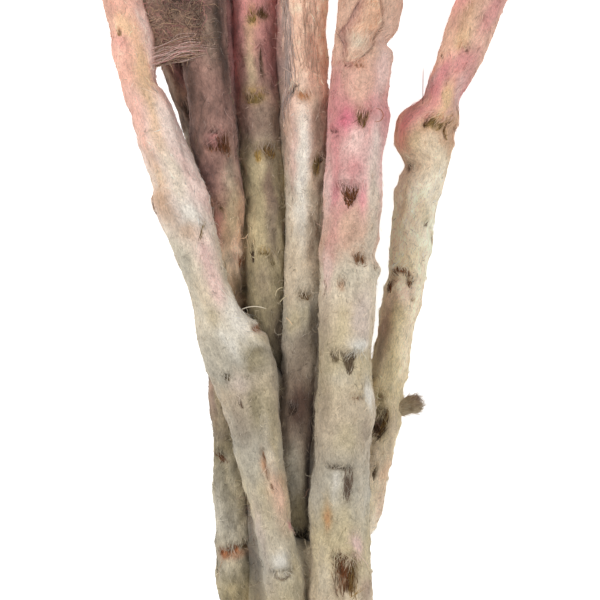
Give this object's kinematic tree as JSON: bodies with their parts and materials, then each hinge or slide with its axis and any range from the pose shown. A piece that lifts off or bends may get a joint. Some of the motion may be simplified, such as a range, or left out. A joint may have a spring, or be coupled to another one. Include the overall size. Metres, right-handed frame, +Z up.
{
  "type": "preserved flower bunch",
  "caption": "Bunch of dyed everlasting flowers on thick woolly stems, with papery star-shaped heads, closed buds and felted leaves, tied with twine and lying on its side.",
  "frame": {"origin": "middle of the lying bunch's footprint, on the surface that it lies on", "axes": "+Y from the cut feet to the flower heads, +Z up from the surface"},
  "size_m": [0.1738, 0.3075, 0.0376],
  "materials": {
    "felt_salmon": "matt wool felt over a dry woody stem, dyed salmon at the top and natural cream at the foot",
    "felt_mauve_brown": "matt dark wool felt over a dry woody stem, mauve brown",
    "felt_dusty_pink": "matt wool felt over a dry woody stem, dusty pink to olive",
    "felt_beige_pink": "matt wool felt over a dry woody stem, beige pink",
    "felt_pink": "matt wool felt over a dry woody stem, pink at the top and natural cream at the foot",
    "bracts": "dry papery bracts with a soft sheen",
    "florets": "dry dark florets",
    "twine": "natural plant-fibre twine"
  },
  "bodies": {
    "root": {"stem_1": "felt_salmon", "stem_2": "felt_mauve_brown", "stem_3": "felt_mauve_brown", "stem_4": "felt_dusty_pink", "stem_5": "felt_beige_pink", "stem_6": "felt_pink", "stem_7": "felt_salmon", "head_1": "bracts", "head_2": "bracts", "head_4": "bracts", "head_6": "bracts", "head_7": "bracts", "disc_1": "florets", "disc_2": "florets", "disc_4": "florets", "disc_6": "florets", "disc_7": "florets", "bud_3": "bracts", "bud_5": "bracts", "tie": "twine"}
  },
  "joints": []
}
